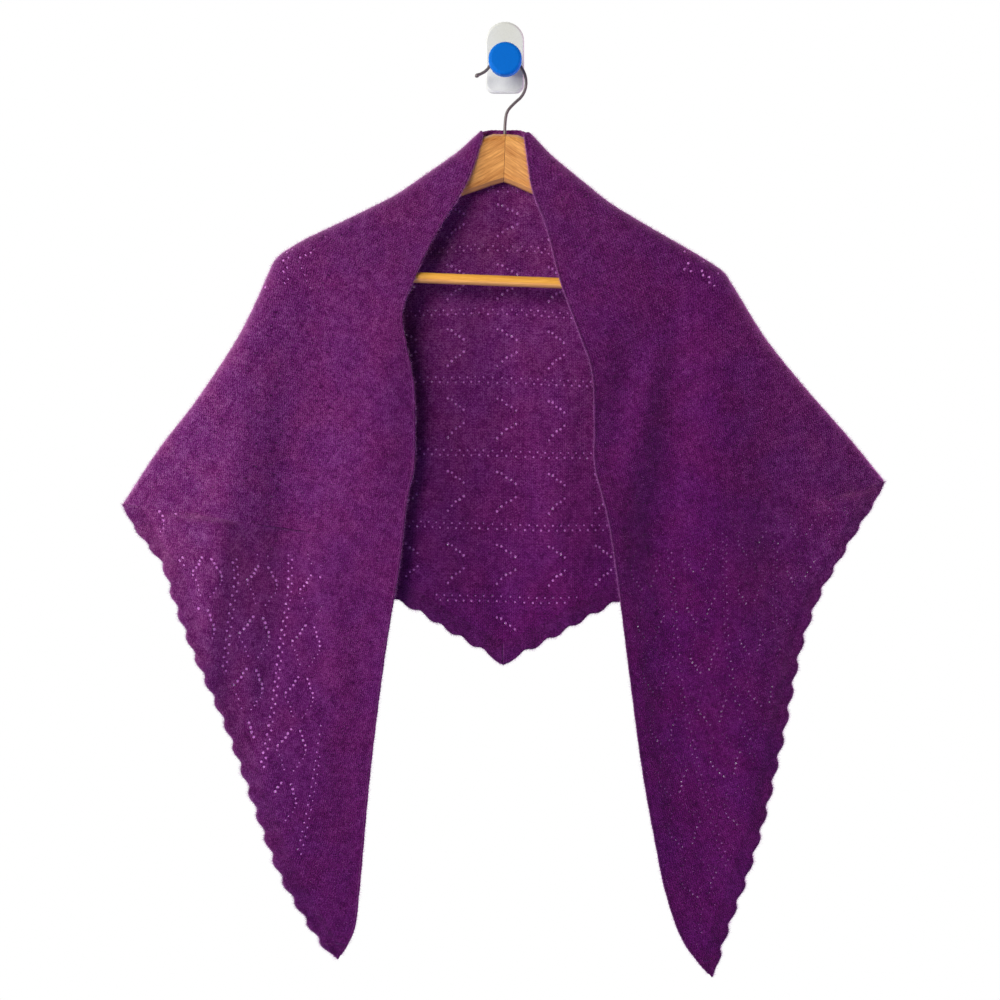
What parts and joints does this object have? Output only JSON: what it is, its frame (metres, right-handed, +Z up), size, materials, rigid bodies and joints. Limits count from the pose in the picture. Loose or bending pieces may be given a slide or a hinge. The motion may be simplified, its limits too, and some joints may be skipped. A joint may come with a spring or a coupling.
{
  "type": "lace shawl on a hanger and wall hook",
  "caption": "Knitted triangular lace shawl with a scalloped edge, draped over a contoured wooden hanger that hangs on a round-knobbed wall hook.",
  "frame": {"origin": "centre of the wall plate's flat back face, on the wall", "axes": "+Y into the wall, +Z up, +X to the right of someone who faces the shawl"},
  "size_m": [0.7396, 0.0634, 0.9314],
  "materials": {
    "shawl_knit": "brushed mohair lace knit, deep purple, soft halo",
    "shawl_edging": "scalloped knitted edging, deep purple, soft halo",
    "hanger_wood": "lacquered honey-coloured wood with straight grain",
    "bar_wood": "lacquered pale dowel",
    "hook_wire": "satin steel wire",
    "plate_plastic": "pale grey satin plastic",
    "knob_plastic": "smooth blue plastic"
  },
  "bodies": {
    "root": {"shawl_back_left": "shawl_knit", "shawl_back_right": "shawl_knit", "shawl_left_front_upper": "shawl_knit", "shawl_left_front_lower": "shawl_knit", "shawl_right_front_upper": "shawl_knit", "shawl_right_front_lower": "shawl_knit", "edging_back_left": "shawl_edging", "edging_back_right": "shawl_edging", "edging_left_front": "shawl_edging", "edging_right_front": "shawl_edging", "hanger_arm_left": "hanger_wood", "hanger_arm_right": "hanger_wood", "trouser_bar": "bar_wood", "wire_hook": "hook_wire", "wall_plate": "plate_plastic", "peg": "plate_plastic", "knob": "knob_plastic"}
  },
  "joints": []
}
